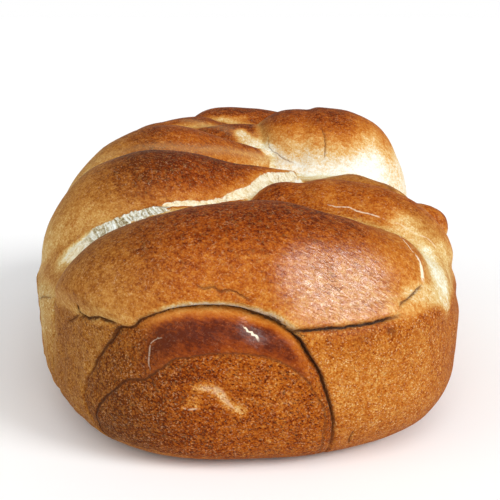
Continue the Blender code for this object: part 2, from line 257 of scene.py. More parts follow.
# Creases: where one strand's turn meets the next the dough only touched, so a groove
# with rounded edges runs between them. The skin is made finer along each, and then
# pushed in. Places are x, y, z on the skin in mm.
FAR = 9.0
WIDE_SPLIT, NARROW_SPLIT = 4.0 * MM, 2.2 * MM


def lay(*places):
    """A smooth line through the places, brought onto the skin."""
    line = smooth_line(places, 4) * MM
    return np.array([loaf.closest_point_on_mesh(Vector(place))[1] for place in line])


def reach(points, line):
    """Distance from each point to the line, and how far along it the nearest place is."""
    nearest = np.full(len(points), FAR)
    along = np.zeros(len(points))
    lengths = np.linalg.norm(np.diff(line, axis=0), axis=1)
    walked = 0.0
    for a, b, length in zip(line, line[1:], lengths):
        span = (b - a) / length
        place = np.clip((points - a) @ span, 0.0, length)
        away = np.linalg.norm(points - a - place[:, None] * span, axis=1)
        closer = away < nearest
        nearest[closer], along[closer] = away[closer], walked + place[closer]
        walked += length
    return nearest, along / walked


def beside(points, normals, line):
    """Like reach, but the distance is negative on one side of the line."""
    nearest = np.full(len(points), FAR)
    along = np.zeros(len(points))
    sign = np.ones(len(points))
    lengths = np.linalg.norm(np.diff(line, axis=0), axis=1)
    walked = 0.0
    for a, b, length in zip(line, line[1:], lengths):
        span = (b - a) / length
        place = np.clip((points - a) @ span, 0.0, length)
        offset = points - a - place[:, None] * span
        away = np.linalg.norm(offset, axis=1)
        closer = away < nearest
        turn = np.einsum("ij,ij->i", np.cross(offset[closer], span), normals[closer])
        nearest[closer], along[closer] = away[closer], walked + place[closer]
        sign[closer] = np.where(turn < 0, -1.0, 1.0)
        walked += length
    return sign * nearest, along / walked


def soft(value, low, high):
    """0 up to low, 1 from high on, and a smooth rise between them."""
    t = np.clip((value - low) / (high - low), 0.0, 1.0)
    return t * t * (3 - 2 * t)


def fade_ends(along, share=0.15):
    return soft(np.minimum(along, 1 - along), -0.02, share)


def skin_points():
    flat = np.empty(len(loaf.data.vertices) * 3)
    loaf.data.vertices.foreach_get("co", flat)
    return flat.reshape(-1, 3)


def skin_normals():
    flat = np.empty(len(loaf.data.vertices) * 3)
    loaf.data.vertex_normals.foreach_get("vector", flat)
    return flat.reshape(-1, 3)


def set_skin(points):
    loaf.data.vertices.foreach_set("co", points.ravel())
    loaf.data.update()


def finer(lines, distance):
    """Split every face that lies within a distance of a line."""
    middles = np.empty(len(loaf.data.polygons) * 3)
    loaf.data.polygons.foreach_get("center", middles)
    middles = middles.reshape(-1, 3)
    close = np.full(len(middles), FAR)
    for line in lines:
        close = np.minimum(close, reach(middles, line)[0])
    select_only(loaf)
    bpy.ops.object.mode_set(mode="EDIT")
    bpy.ops.mesh.select_mode(type="FACE")
    bpy.ops.mesh.select_all(action="DESELECT")
    bpy.ops.object.mode_set(mode="OBJECT")
    loaf.data.polygons.foreach_set("select", close < distance)
    bpy.ops.object.mode_set(mode="EDIT")
    bpy.ops.mesh.subdivide(number_cuts=1)
    bpy.ops.object.mode_set(mode="OBJECT")


# The near and far walls: the strand end that shows as an arch with a flat face, the fold
# under the pillow, cracks where the crust tore, and the seams on the long walls. All are
# lines laid on the skin.
ARCH_EDGE = lay((-59, -96, -2), (-60, -95, 6), (-59, -94, 15), (-57, -91, 23), (-54, -95, 32),
                (-50, -99, 40), (-47, -101, 44), (-45, -103, 48), (-41, -104, 48.5),
                (-38, -104, 51), (-33, -105, 53), (-27, -105, 54.5), (-17, -105, 55),
                (-9, -105, 54), (-2, -104, 51), (3, -106, 48.5), (8, -109, 45), (11, -110, 40),
                (14, -110, 35), (16, -109, 29), (18, -109, 22), (19, -108, 16), (19, -103, 6),
                (18, -98, -2))
FACE_EDGE = lay((-52, -94, -2), (-53, -92, 9), (-53, -95, 17), (-52, -97, 21), (-50, -100, 25),
                (-46, -103, 29), (-43, -104, 32), (-38, -107, 33), (-36, -108, 34.5),
                (-33, -109, 37), (-29, -110, 40), (-24, -111, 41), (-14, -112, 42.3),
                (-3, -112, 41), (4, -112, 38), (10, -112, 33), (13, -111, 28), (16, -111, 22),
                (16, -109, 14), (16, -104, 6), (15, -98, -2))
BACK_ARCH_EDGE = lay((53, 98, -2), (54, 98, 10), (52, 102, 24), (47, 106, 37), (38, 109, 47),
                     (26, 111, 53), (12, 112, 54), (-1, 112, 51), (-12, 112, 43),
                     (-18, 111, 32), (-21, 110, 20), (-22, 104, 8), (-22, 98, -2))
BACK_FACE_EDGE = lay((49, 98, -2), (49, 98, 10), (47, 104, 22), (42, 108, 31), (34, 110, 37.5),
                     (25, 111, 41), (12, 112, 41), (2, 112, 38), (-7, 112, 31), (-12, 111, 22),
                     (-14, 108, 10), (-14, 98, -2))

PILLOW_LOW = lay((-58, -91, 48), (-56, -94, 49), (-53, -95, 49), (-51, -98, 50), (-49, -99, 50),
                 (-47, -101, 49.4), (-45, -103, 49))
PILLOW_LOW_RIGHT = lay((2, -106, 49), (6, -108, 47.4), (10, -110, 48), (14, -110, 48.2),
                       (20, -109, 48), (26, -108, 48.3), (32, -106, 48.4), (36, -105, 49),
                       (41, -103, 49.3))
LEFT_CRACK_A = lay((-58, -93, 53), (-57, -92, 50), (-56, -94, 48))
LEFT_CRACK_B = lay((-62, -84, 44), (-60, -88, 46), (-57, -92, 49))
STRIP_CREASE = lay((-66, -76, 50), (-68, -70, 46), (-68, -70, 37), (-69, -66, 28), (-67, -66, 18),
                   (-63, -70, 8))
STRIP_FOLD = lay((-75, -53, 42), (-72, -60, 45), (-68, -68, 47))
PILLOW_CRACK = lay((-23, -106, 62), (-20, -107, 61), (-17, -107, 61.4), (-15, -108, 60),
                   (-12, -108, 60.3), (-8, -108, 58), (-5, -108, 56))
PILLOW_END_CRACK = lay((50, -92, 56), (49, -93, 55), (47, -96, 55), (43, -99, 53),
                       (40, -102, 52), (40, -104, 51))
DOME_CRACK = lay((36.6, 25, 91), (37.2, 22, 89), (37.8, 21, 87), (37.8, 19, 85), (37.4, 17, 81),
                 (37, 16, 78))
FACE_FOLD = lay((-36, -108, 34), (-35, -108, 31), (-34, -108, 28.5))
LOW_RIGHT_CREASE = lay((26, -107, 14), (25, -105, 11), (25, -103, 7))

fine_lines = [ARCH_EDGE, FACE_EDGE, PILLOW_LOW, PILLOW_LOW_RIGHT, LEFT_CRACK_A, LEFT_CRACK_B,
              STRIP_CREASE, STRIP_FOLD, PILLOW_CRACK, PILLOW_END_CRACK, DOME_CRACK, FACE_FOLD,
              LOW_RIGHT_CREASE]


def wall_line(side, y, lean, top):
    """A line up the long wall of the tin, which leans along Y by lean on its way up."""
    places = []
    for z in (3, 10, 22, 35, top):
        at = y + lean * math.sin(math.pi * (z / top - 0.5)) / 2
        x = (WIDTH / 2 - tin_inset(z * MM)) * (1 - abs(at * MM * 2 / LENGTH) ** 3) ** (1 / 3)
        places.append((side * x / MM, at, z))
    return lay(*places)


side_lines = [wall_line(-1, -16, 9, 57), wall_line(-1, 28, -8, 57), wall_line(-1, 74, 7, 54),
              wall_line(1, -36, -10, 56), wall_line(1, 9, 8, 55), wall_line(1, 60, -9, 56)]
back_lines = [lay((70, 72, 46), (62, 84, 48), (52, 97, 49), (44, 106, 43)),
              lay((-10, 112, 47), (-30, 110, 50), (-48, 101, 49), (-62, 84, 47))]

finer(fine_lines + side_lines + back_lines + [BACK_ARCH_EDGE, BACK_FACE_EDGE], WIDE_SPLIT)
finer(fine_lines, NARROW_SPLIT)


def cusp(away, width):
    """1 at the bottom of a crease, rounding over to 0 at its width on either side."""
    t = np.clip(away / width, 0.0, 1.0)
    return 1 - np.sqrt(1 - (1 - t) ** 2)


def within(points, outline):
    """True for points whose x and z lie inside an outline that is open at the bottom."""
    inside = np.zeros(len(points), bool)
    x, z = points[:, 0], points[:, 2]
    corners = [(p[0], p[2]) for p in outline]
    for (ax, az), (bx, bz) in zip(corners, corners[1:] + corners[:1]):
        crosses = (az > z) != (bz > z)
        if az != bz:
            inside ^= crosses & (x < (bx - ax) * (z - az) / (bz - az) + ax)
    return inside


END_ZONE = 60 * MM
skin = skin_points()
outward = skin_normals()
height = skin[:, 2] / MM
front = skin[:, 1] < -END_ZONE
back = skin[:, 1] > END_ZONE
push = np.zeros(len(skin))

# a strand end stands back under its pillow and comes forward to its flat face
StrandEnd = namedtuple("StrandEnd", "depth band face to_edge to_face along")


def set_back(edge, face, facing, depths, lips):
    """How far the skin goes in at a strand end, and where its band and its face are."""
    to_edge, along = reach(skin, edge)
    to_face = reach(skin, face)[0]
    in_edge = within(skin, edge) & facing & (height < 62)
    in_face = in_edge & within(skin, face)
    band = in_edge & ~in_face
    depth = np.interp(along, *depths) * MM
    lip = np.interp(along, *lips) * MM
    share = to_edge / np.maximum(to_edge + to_face, 0.1 * MM)
    shoulder = depth * (1 - np.sqrt(1 - (1 - share) ** 2))
    outside = depth * cusp(to_edge, lip) * (facing & (height < 70))
    amount = np.where(band, shoulder, np.where(in_edge, 0.0, outside))
    return StrandEnd(amount, band, in_face, to_edge, to_face, along)


arch = set_back(ARCH_EDGE, FACE_EDGE, front,
                ((0, 0.15, 0.30, 0.38, 0.46, 0.60, 0.66, 0.72, 0.9, 1),
                 (0.6, 1.0, 1.8, 3.0, 5.5, 5.5, 4.2, 3.4, 1.8, 0.6)),
                ((0, 0.30, 0.40, 0.60, 0.70, 1), (0.8, 1.0, 2.6, 2.6, 1.3, 1.0)))
back_arch = set_back(BACK_ARCH_EDGE, BACK_FACE_EDGE, back,
                     ((0, 0.2, 0.5, 0.8, 1), (1.0, 3.0, 5.0, 3.0, 1.0)),
                     ((0, 0.3, 0.5, 0.7, 1), (1.0, 1.2, 2.4, 1.2, 1.0)))
push += arch.depth + back_arch.depth

FACE_EDGE_DEPTH, FACE_EDGE_WIDTH = 0.35 * MM, 0.7 * MM
CREASES = [
    # line, depth and half width in mm, darkness of the painted shade along it
    (PILLOW_LOW, 1.8, 1.9, 0.90),
    (PILLOW_LOW_RIGHT, 2.4, 1.7, 1.0),
    (LEFT_CRACK_A, 1.4, 1.4, 0.90),
    (LEFT_CRACK_B, 1.0, 1.2, 0.70),
    (STRIP_CREASE, 2.2, 1.8, 0.55),
    (STRIP_FOLD, 0.9, 0.8, 0.5),
    (PILLOW_CRACK, 0.50, 1.1, 0.60),
    (PILLOW_END_CRACK, 0.8, 1.1, 0.70),
    (DOME_CRACK, 0.7, 0.7, 0.60),
    (FACE_FOLD, 0.5, 1.2, 0.65),
    (LOW_RIGHT_CREASE, 0.6, 1.2, 0.6),
    (BACK_FACE_EDGE, 0.35, 0.8, 0.50),
]
CREASES += [(line, 2.4, 2.0, 0.45) for line in side_lines]
CREASES += [(line, 2.2, 1.6, 0.55) for line in back_lines]
for line, depth, width, darkness in CREASES:
    away, along = reach(skin, line)
    push += depth * MM * cusp(away, width * MM) * fade_ends(along)
push += FACE_EDGE_DEPTH * cusp(arch.to_face, FACE_EDGE_WIDTH) * front

# Dough that tore open between two strands while it proved: shallow gashes, laid as lines
# with half widths in mm, whose fibres run across from one side to the other.
TEAR_DEPTH = 0.8 * MM
TEARS = [
    # line, half width in mm, how fibrous
    (lay((-64, -60, 56), (-56, -61, 61), (-52, -60, 64.5), (-46, -60, 68.5), (-41, -58.5, 71),
         (-36, -58, 72.5), (-29, -55.5, 74)), 3.6, 1.0),
    (lay((-32, -55, 74.5), (-22, -52, 74.5), (-16, -50, 74.5), (-9, -45, 75)), 1.5, 0.10),
    (lay((-10, -46, 75), (-2, -41, 76), (2, -38, 76.5), (5, -34, 78), (9, -30, 79),
         (15, -27, 79), (20, -22, 79)), 2.7, 0.25),
]
tear = np.zeros(len(skin))
fibrous = np.zeros(len(skin))
stretched = np.zeros(len(skin))
fibre_along = np.zeros(len(skin))
fibre_across = np.zeros(len(skin))
for line, width, fibres in TEARS:
    away, along = reach(skin, line)
    length = np.linalg.norm(np.diff(line, axis=0), axis=1).sum() / MM
    away /= MM
    width = width * (0.35 + 0.65 * np.sin(math.pi * np.clip(along, 0.0, 1.0)) ** 0.6)
    inside = (1 - soft(away, width * 0.6, width * 1.3)) * fade_ends(along, 0.06)
    better = inside > tear
    tear[better], fibrous[better] = inside[better], (fibres * soft(along, 0.10, 0.40))[better]
    fibre_along[better], fibre_across[better] = (along * length)[better], away[better]
    stretched = np.maximum(stretched, 1 - soft(away, width, width + 5.0))
    push += TEAR_DEPTH * np.sqrt(np.clip(1 - (away / width) ** 2, 0, 1))

# Proved dough is never quite even. It swelled furthest over the left side and at the top,
# is drawn in along the rim on the right, and folds in where two strands touch. Depths
# and heights are in mm.
BROAD_SWELL, SMALL_SWELL, WALL_LUMPS = 0.9, 0.35, 0.9
LEFT_SWELL, TOP_SWELL = 2.2, 1.5
RIM_HEIGHT, RIM_PINCH, END_PINCH, VALLEY_DEPTH = 46, 1.9, 2.2, 0.9
SPOT_DEPTH, SPOT_WIDTH, FOOT_SWELL = 0.5, 3.0, 2.6


def uneven(frequency, shift=(0, 0, 0)):
    return np.array([noise.noise(Vector(p) * frequency + Vector(shift)) for p in skin])


x_mm, y_mm = skin[:, 0] / MM, skin[:, 1] / MM
swell = (uneven(38) * BROAD_SWELL + uneven(95, (7, 3, 1)) * SMALL_SWELL) * MM
push -= swell * soft(height, 1, 9)
left_wall = soft(-x_mm, 42, 58) * (1 - soft(height, 40, 54)) * soft(height, 3, 12)
push -= WALL_LUMPS * MM * uneven(210) * left_wall
left_swell = LEFT_SWELL * soft(-x_mm, 12, 42) * soft(height, 48, 66) * (1 - soft(-y_mm, 56, 70))
push -= MM * np.maximum(left_swell, TOP_SWELL * soft(height, 76, 90))
end_side = soft(x_mm, 50, 66) * (1 - soft(y_mm, -30, -10))
push += RIM_PINCH * MM * end_side * (1 - soft(np.abs(height - RIM_HEIGHT), 3, 11))
# the second right strand stops short of the dome's side
end_side = soft(x_mm, 42, 54) * (1 - soft(np.abs(y_mm + 10), 6, 16)) * soft(height, 60, 68)
push += END_PINCH * MM * end_side

# the gap is how much farther the next strand is than the nearest: small in a valley
to_strand = {}
for name, line in strand_lines.items():
    closest = np.full(len(skin), FAR)
    for row in line:
        closest = np.minimum(closest, np.linalg.norm(skin - row[:3], axis=1) - row[3])
    to_strand[name] = closest
gaps = np.sort(np.array(list(to_strand.values())), axis=0)
gap = (gaps[1] - gaps[0]) / MM
gap = np.where(gaps[0] > 2 * MM, 0.0, gap)
above = soft(height, 52, 60)
push += VALLEY_DEPTH * MM * np.exp(-gap / 1.4) * above * (1 - tear)

# the bare spot on the flat face is a shallow pit
BARE_SPOT = lay((-23, -111, 31), (-19, -111, 31), (-16, -111, 30), (-14, -111, 27),
                (-12, -111, 25), (-9, -111, 23))
push += SPOT_DEPTH * MM * cusp(reach(skin, BARE_SPOT)[0], SPOT_WIDTH * MM)

baked = skin - outward * push[:, None]
# the foot of the front end fills the tin's corner
foot = (1 - soft(height, 3, 16)) * soft(-y_mm, 70, 92) * (1 - soft(x_mm, 5, 35))
baked[:, 1] -= FOOT_SWELL * MM * foot * (1 - soft(-x_mm, 64, 76))
set_skin(baked)
loaf.data.shade_smooth()

# Browning. Egg wash browns the crests, the dough that stretched open in the creases stays
# pale, and the sides are pebbled from the tin. How far each place is baked, from 0 for raw
# cream to 1 for the darkest crust, is painted on the skin. Places are in mm.
UPWARD, UPWARD_BAKE = (-0.2, 0.2, 0.6, 0.95), (0.30, 0.46, 0.76, 0.90)
PILLOW_HEIGHTS = (47, 52, 58, 66, 74, 80)
PILLOW_BAKE = (0.43, 0.56, 0.68, 0.76, 0.83, 0.90)
DOME_HEIGHTS = (68, 73, 77, 81, 86, 91, 96)
DOME_BAKE = (0.02, 0.05, 0.14, 0.30, 0.53, 0.80, 0.95)
WALL_BAKE, LEFT_BAKE, FACE_BAKE, BAND_BAKE, KNOB_BAKE = 0.62, 0.72, 0.91, 0.86, 0.72
BACK_FACE_BAKE, BACK_BAND_BAKE = 0.70, 0.80
up = outward[:, 2]
strand_end = arch.band | arch.face | back_arch.band | back_arch.face
bake = np.interp(up, UPWARD, UPWARD_BAKE)
bake -= (0.14 + 0.08 * soft(y_mm, -45, -20)) * soft(x_mm, 0, 30) * (1 - soft(y_mm, 8, 18))
bake -= 0.14 * soft(-x_mm, 42, 60)
bake += 0.08 * soft(-x_mm, 0, 15) * (1 - soft(-x_mm, 35, 48)) * (1 - soft(y_mm, 0, 20))
bake -= 0.40 * (1 - soft(gap, 0.2, 3.2)) * above
second = 1 - soft((to_strand["left_second"] - gaps[0]) / MM, 0.0, 2.0)
bake -= second * (0.09 + 0.05 * soft(-outward[:, 1], 0.05, 0.60)) * (y_mm < 20)
tin_side = 1 - soft(height + 2.5 * swell / MM, 46.5, 50.5)
tin_side = np.where(strand_end, 1.0, tin_side)
dark = np.zeros(len(skin))
wrinkle = np.zeros(len(skin))


def stroke(values, line, target, reach_mm, fade_mm, strength=1.0):
    """Bring painted values near a line towards a target."""
    away, along = reach(skin, line)
    weight = strength * (1 - soft(away / MM, reach_mm, reach_mm + fade_mm))
    values += (target - values) * weight


# dough beside a tear was stretched thin and browned less
bake -= 0.22 * stretched * ~front

# the pillows are pale at their foot and darkest along their back
for facing, sign in ((front, -1), (back, 1)):
    pillow_bake = np.interp(height, PILLOW_HEIGHTS, PILLOW_BAKE)
    if sign < 0:
        pillow_bake -= 0.10 * soft(x_mm, 25, 45)
    own = facing * soft(sign * y_mm, 62, 76) * (1 - tin_side)
    bake += (pillow_bake - bake) * own

# the tin sides: lightest to the right of the strand end, darkest on its flat face
side_bake = WALL_BAKE + 0.10 * (1 - soft(height, 2, 20))
right_bake = WALL_BAKE + 0.08 * soft(-height, -20, -6) + 0.08 * soft(x_mm, 45, 62)
right_bake = right_bake + 0.08 * soft(height, 38, 48)
side_bake = np.where(front & (x_mm > 15), right_bake, side_bake)
side_bake = np.where(front & (x_mm < -40), LEFT_BAKE, side_bake)
left_strip = (1 - soft(np.abs(y_mm + 60), 5, 19)) * soft(-x_mm, 58, 68)
side_bake -= 0.30 * left_strip * soft(height, 14, 40)
# painted shade: the flat face is made darker towards its left
side_bake = np.where(arch.face, FACE_BAKE - 0.17 * soft(x_mm, -45, 10), side_bake)
side_bake = np.where(back_arch.face, BACK_FACE_BAKE, side_bake)
bake = bake * (1 - tin_side) + side_bake * tin_side

# the strand end's band is glossy and dark across its top, and dull at its left foot
glossy = soft(x_mm, -42, -32) * (1 - soft(x_mm, 4, 16))
band_bake = BAND_BAKE + 0.12 * glossy - 0.42 * (1 - soft(arch.to_edge / MM, 1.0, 4.6)) * glossy
band_bake -= 0.12 * glossy * (1 - soft(arch.to_face / MM, 0.5, 6.0))
band_bake = band_bake - 0.10 * soft(x_mm, 8, 16)
bake = np.where(arch.band, band_bake, bake)
bake = np.where(back_arch.band, BACK_BAND_BAKE, bake)
pebbled = np.where(arch.band, 1 - glossy, np.where(back_arch.band, 0.2, tin_side))
gloss = (1 - pebbled) * 0.02
calm = np.where(arch.band, glossy, 0.0)
gloss = np.where(arch.band, 0.04 * glossy, gloss)
gloss = np.where(back_arch.band, 0.02, gloss)
# how thick the painted glints lie: most on the right of the tin side
speckle = np.where(pebbled > 0.5, np.where(arch.face, 0.55, np.where(x_mm > 15, 1.0, 0.55)), 0.35)
pitting = np.where(pebbled > 0.5, np.where(arch.face, 1.0, 0.5), 0.2)

# the pillow's pale lip over the strand end
lip = (1 - soft(arch.to_edge / MM, 0.6, 2.6)) * ~strand_end * front
lip *= soft(arch.along, 0.36, 0.42) * (1 - soft(arch.along, 0.60, 0.70))
bake += (0.14 - bake) * lip

# the dome is pale on its near side and brown on top, and the knob is brown all over
dome = 1 - soft((to_strand["right_third"] - gaps[0]) / MM, 0.0, 2.5)
dome *= soft(-outward[:, 1], -0.15, 0.30) * soft(height, 50, 60)
dome_bake = np.interp(height, DOME_HEIGHTS, DOME_BAKE)
dome_bake = dome_bake - 0.14 * soft(x_mm, 46, 56) + 0.26 * soft(x_mm, 58, 67)
dome_bake = dome_bake - 0.05 * (1 - soft(x_mm, 28, 36))
bake += (dome_bake - bake) * dome
knob = 1 - soft((to_strand["right_knob"] - gaps[0]) / MM, 0.0, 1.5)
bake += (KNOB_BAKE - bake) * knob * soft(height, 52, 60)
# pale edges where one strand lies over the next, and a painted sheen on a few of them
stroke(bake, lay((15, 25, 82), (18, 23, 80), (21, 20, 76), (26, 17, 74), (30, 14, 73)), 0.05, 0.8, 2.6)
SECOND_EDGE = lay((-57, 1, 80), (-52, -1, 82), (-44, -2, 84), (-32, -2, 86), (-20, -1, 85.5),
                  (-8, 7, 83.5), (6, 16, 80.5), (15, 22, 78))
stroke(bake, SECOND_EDGE, 0.34, 0.2, 1.4, 0.7)
# painted sheen: a pale olive grey along a few strands' edges
painted_edge_sheen = np.zeros(len(skin))
stroke(painted_edge_sheen, SECOND_EDGE, 0.30, 0.2, 3.6)
stroke(painted_edge_sheen, lay((-20, 50, 90), (-14, 48, 89), (-3, 38, 88), (7, 31, 85)), 0.22, 0.4, 4.0)
stroke(painted_edge_sheen, lay((18, -19, 78), (28, -16, 79), (40, -14, 79), (50, -16, 77)), 0.25, 0.4, 3.4)
stroke(bake, lay((3, 35, 86), (7, 30, 84), (10, 28, 82), (13, 23, 81)), 0.10, 1.4, 3.0, 0.9)
stroke(bake, lay((-36, 50, 89), (-25, 51, 90), (-14, 48, 89), (-3, 38, 88), (7, 31, 85)),
       0.40, 0.4, 2.0, 0.40)
stroke(bake, lay((-3, 63, 90), (3, 62, 90), (8, 64, 90)), 0.34, 0.8, 2.5, 0.6)
# the stretched, creamy end of the front pillow, and of the strand behind it
stroke(bake, lay((50, -66, 68), (53, -69, 63), (55, -77, 60), (57, -81, 56), (58, -85, 53),
                 (59, -88, 50)), 0.25, 2.0, 7.0, 0.85)
stroke(bake, lay((59, -77, 58), (60, -84, 52), (61, -87, 50)), 0.02, 1.6, 6.0, 0.85)
stroke(bake, lay((44, -97, 52), (50, -94, 54), (56, -90, 51), (61, -87, 49)), 0.26, 1.0, 4.0, 0.8)

# Fine lines: light ones where the crust was stretched thin or the wash gathered in a
# small fold, with painted highlights on a few edges, and dark ones that are painted shade
# in the creases and cracks. Each is painted as the distance to its middle, signed so that
# it runs straight through zero there, which keeps it crisp.
SPOT_FOLD = lay((-27, -109, 25), (-25, -110, 24), (-22, -110, 24.6))
PALE_LINES = [
    # line, half width in mm, strength
    # painted highlight along the curved edge of the pillow's right end
    (lay((46, -74, 67.5), (46, -80, 67), (48, -85, 65), (49, -85.5, 64), (50, -87, 61)), 0.22, 0.75),
    (lay((49, -85.5, 64), (50, -87, 61), (50, -90, 58), (50, -92, 56)), 0.75, 1.0),
    # stretch lines along the first right strand, partly a painted highlight
    (lay((24, -57, 74), (28, -59, 74), (32, -60, 74), (35, -62, 73), (39, -63, 72), (45, -65, 70)),
     0.26, 0.55),
    (lay((45, -65, 70), (50, -66, 68.5), (54, -67, 66), (58, -66, 64), (61, -66, 61),
         (63, -67, 57)), 0.26, 0.36),
    (lay((-36, -44, 85), (-35, -46, 83.5), (-35, -48, 82), (-36, -50, 80)), 0.18, 0.34),
    (lay((-47, -44, 83), (-47, -48, 80), (-48, -50, 78)), 0.18, 0.24),
    (lay((-31, -108, 47), (-35, -107, 45), (-36, -107, 40), (-36, -108, 35)), 0.24, 0.26),
    # painted highlight: a bright streak on the strand end's dark band
    (lay((-8.5, -109, 50), (-6.5, -110, 48), (-4, -111, 45.5)), 0.50, 1.15),
    (BARE_SPOT,
     lambda along: 0.45 + 0.75 * soft(along, 0.0, 0.3) * (1 - soft(along, 0.45, 0.8)), 0.22),
    (SPOT_FOLD, 0.30, 0.35),
]


def line_fields(lines):
    """For the nearest of the lines: signed distance in mm, half width and strength."""
    side = np.full(len(skin), FAR)
    half_width, strength = np.full(len(skin), 0.3), np.zeros(len(skin))
    for line, width, weight in lines:
        away, along = beside(skin, outward, line)
        away /= MM
        shown = weight(along) if callable(weight) else weight * fade_ends(along, 0.2)
        wide = width(along) if callable(width) else np.full(len(skin), width)
        closer = np.abs(away) < np.abs(side)
        for field, values in ((side, away), (half_width, wide), (strength, shown)):
            field[closer] = values[closer]
    return side, half_width, strength * (1 - soft(np.abs(side), 1.4, 2.4))


def varying(places, values):
    return lambda along: np.interp(along, places, values)


# painted shade: dark lines in the creases and cracks and along the strand ends' edges
CRACK_SHARE = 0.20
dark_lines = [(line, CRACK_SHARE * width, darkness) for line, depth, width, darkness in CREASES]
dark_lines += [
    (ARCH_EDGE, varying((0, 0.12, 0.2, 0.31, 0.36, 0.5, 0.6, 0.66, 0.72, 0.85, 0.9, 1),
                        (0.24, 0.28, 0.36, 0.42, 0.30, 0.22, 0.28, 0.44, 0.46, 0.38, 0.3, 0.2)),
     varying((0, 0.12, 0.2, 0.31, 0.36, 0.5, 0.6, 0.68, 0.85, 0.9, 1),
             (0.15, 0.3, 0.75, 0.85, 0.85, 0.8, 0.9, 1.0, 0.8, 0.5, 0.3))),
    (FACE_EDGE, varying((0, 0.1, 0.3, 0.4, 1), (0.42, 0.38, 0.32, 0.24, 0.34)),
     varying((0, 0.1, 0.3, 0.5, 0.8, 1), (0.85, 0.92, 0.85, 0.55, 0.55, 0.40))),
    (BACK_ARCH_EDGE, 0.25, 0.7),
    (lay((16, 32, 89), (15, 28, 86), (15, 25, 82), (18, 23, 80), (21, 21, 78), (26, 19, 76)),
     0.20, 0.5),
    (lay((12, -27, 80), (12, -29, 78.5), (12, -31, 77)), 0.14, 0.4),
    (lay((-8, -43, 76), (-9, -46, 74.5)), 0.14, 0.3),
    (lay((-43, -55, 75), (-38, -55, 77), (-33, -54, 77.5), (-29, -53, 76), (-25, -53, 74)),
     0.16, 0.5),
]
crack_shade_side, crack_shade_width, crack_shade = line_fields(dark_lines)
ridge_and_highlight_side, ridge_and_highlight_width, ridge_and_highlight = line_fields(PALE_LINES)
# painted shade: a soft brown halo on both sides of a crack
dark = 0.45 * crack_shade * (1 - soft(np.abs(crack_shade_side), 0.0, 1.0 + crack_shade_width))
# scorched spots by the rim, on the knob and at the outer end of the second right strand
stroke(dark, lay((36, -108, 46), (37, -107, 45.4)), 0.75, 0.6, 1.2)
stroke(dark, lay((26, -110, 44.5), (28, -110, 45), (30, -109, 45.4)), 0.25, 0.4, 2.0)
stroke(bake, lay((78, -19, 62), (79, -19, 60), (80, -20, 57), (80, -20, 55)), 0.80, 2.4, 1.5)
stroke(dark, lay((54, -18, 76), (56, -22, 74), (56, -27, 73)), 0.65, 0.6, 2.2)
# a thin brown edge along the top of the first right strand, and pale dough below it
stroke(dark, lay((22, -42, 80), (31, -47, 80), (39, -52, 79), (47, -57, 77), (53, -59, 75)),
       0.42, 0.2, 1.1)
stroke(bake, lay((58, -70, 60), (60, -73, 57), (61, -77, 54)), 0.12, 1.6, 4.5, 0.8)
stroke(bake, lay((64, -66, 60), (65, -66, 56), (66, -68, 53)), 0.24, 1.2, 4.5, 0.75)
# the bare spot, with an orange patch left in it
stroke(bake, BARE_SPOT, 0.36, 0.5, 1.9, 0.75)
stroke(bake, lay((-24, -110, 27), (-22, -110, 27)), 0.62, 1.0, 1.2, 0.9)
stroke(bake, SPOT_FOLD, 0.40, 0.2, 0.8, 0.6)
# fine wrinkles and a wet shine low on the right of the pillow, with a painted highlight
# that makes the crust paler there, and a small shine on the strand end's dark band
SHINE_AND_PAINTED_HIGHLIGHT = lay((15, -104, 61), (21, -104, 60), (27, -102, 60))
# painted highlight: the crust is painted paler under the shine
stroke(bake, SHINE_AND_PAINTED_HIGHLIGHT, 0.50, 1, 14, 0.6)
stroke(wrinkle, SHINE_AND_PAINTED_HIGHLIGHT, 1.0, 1, 17)
stroke(gloss, SHINE_AND_PAINTED_HIGHLIGHT, 1.0, 1, 17)
stroke(gloss, lay((-8, -108, 50), (-7, -110, 48.5), (-4.5, -111, 46)), 0.30, 0.8, 3.0)

# the brown is more olive towards the left side and in the stretched dough, and an olive
# painted shade lies in the valleys
olive_and_valley_shade = 0.90 * np.maximum(soft(-x_mm, 18, 52), above * np.exp(-gap / 2.0))
olive_and_valley_shade = np.maximum(olive_and_valley_shade, 0.7 * soft(x_mm, 46, 56) * soft(-y_mm, 55, 65) * (1 - tin_side))
olive_and_valley_shade = np.maximum(olive_and_valley_shade, 0.4 * arch.band * soft(-x_mm, 25, 40))
behind_first = soft(x_mm, 12, 22) * soft(y_mm, -30, -22) * (1 - soft(y_mm, 0, 8))
olive_and_valley_shade = np.maximum(olive_and_valley_shade, 0.6 * behind_first * above) * (1 - knob)

painted_values = dict(bake=bake, olive_and_valley_shade=olive_and_valley_shade, crack_shade_side=crack_shade_side, crack_shade_width=crack_shade_width,
                      crack_shade=crack_shade, ridge_and_highlight_side=ridge_and_highlight_side, ridge_and_highlight_width=ridge_and_highlight_width, ridge_and_highlight=ridge_and_highlight,
                      pebbled=pebbled, tear=tear, dark=dark, gloss=gloss, calm=calm, painted_edge_sheen=painted_edge_sheen,
                      wrinkle=wrinkle, speckle=speckle, pitting=pitting,
                      fibrous=fibrous, fibre_along=fibre_along, fibre_across=fibre_across)
for name, values in painted_values.items():
    painted = loaf.data.attributes.new(name, "FLOAT", "POINT")
    painted.data.foreach_set("value", values.astype(float))

